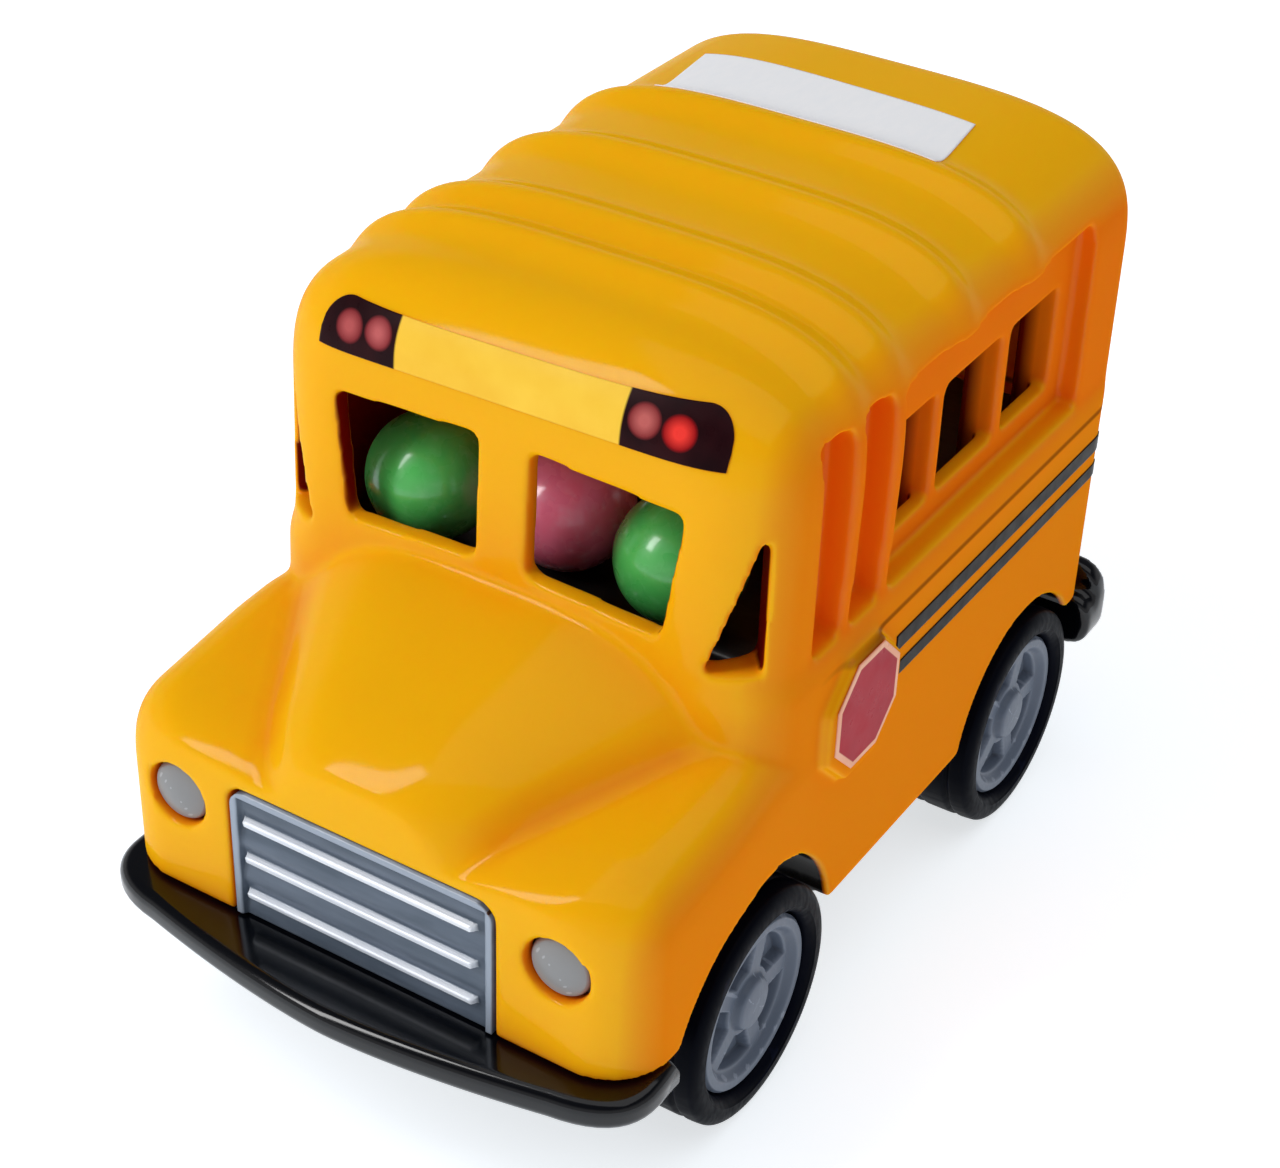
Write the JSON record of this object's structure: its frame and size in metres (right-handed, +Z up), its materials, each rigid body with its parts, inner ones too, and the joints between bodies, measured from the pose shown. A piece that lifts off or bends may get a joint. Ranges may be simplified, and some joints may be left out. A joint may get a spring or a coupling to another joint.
{
  "type": "toy school bus",
  "caption": "Bonneted toy school bus with a ribbed roof, open windows, free-rolling wheels, and a hinged rear door to a raised tray that holds loose candy balls.",
  "frame": {"origin": "centre of the bounding box at the ground", "axes": "+Z up, -Y towards the bonnet, +X towards the bus's left side"},
  "size_m": [0.0594, 0.102, 0.0758],
  "materials": {
    "body_yellow": "glossy yellow-orange moulding",
    "base_black": "glossy black moulding",
    "tray_black": "matt black moulding",
    "grille_grey": "blue-grey moulding with white bars",
    "lamp_grey": "glossy grey moulding",
    "tyre_black": "satin black moulding",
    "hub_grey": "satin grey moulding",
    "axle_steel": "drawn steel",
    "candy_green": "glossy sugar shell",
    "candy_red": "glossy sugar shell"
  },
  "bodies": {
    "bus": {"body_shell": "body_yellow", "chassis": "base_black", "candy_tray": "tray_black", "grille_insert": "grille_grey", "headlight_left": "lamp_grey", "headlight_right": "lamp_grey", "door_hinge_pin": "axle_steel", "gumball_1": "candy_green", "gumball_2": "candy_green", "gumball_3": "candy_red", "gumball_4": "candy_red", "gumball_5": "candy_red", "gumball_6": "candy_green", "gumball_7": "candy_green", "gumball_8": "candy_green", "gumball_9": "candy_red"},
    "front_wheels": {"front_axle": "axle_steel", "tyre_front_left": "tyre_black", "hub_front_left": "hub_grey", "tyre_front_right": "tyre_black", "hub_front_right": "hub_grey"},
    "rear_wheels": {"rear_axle": "axle_steel", "tyre_rear_left": "tyre_black", "hub_rear_left": "hub_grey", "tyre_rear_right": "tyre_black", "hub_rear_right": "hub_grey"},
    "rear_door": {"rear_door": "body_yellow"}
  },
  "joints": [
    {"name": "front_axle_spin", "type": "hinge", "parent": "bus", "child": "front_wheels", "pos_m": [0, -0.0219, 0.0121], "axis": [1, 0, 0], "continuous": true},
    {"name": "rear_axle_spin", "type": "hinge", "parent": "bus", "child": "rear_wheels", "pos_m": [0, 0.0324, 0.0121], "axis": [1, 0, 0], "continuous": true},
    {"name": "rear_door_swing", "type": "hinge", "parent": "bus", "child": "rear_door", "pos_m": [-0.0077, 0.0488, 0.0585], "axis": [0, 0, 1], "range_deg": [0, 90]}
  ]
}
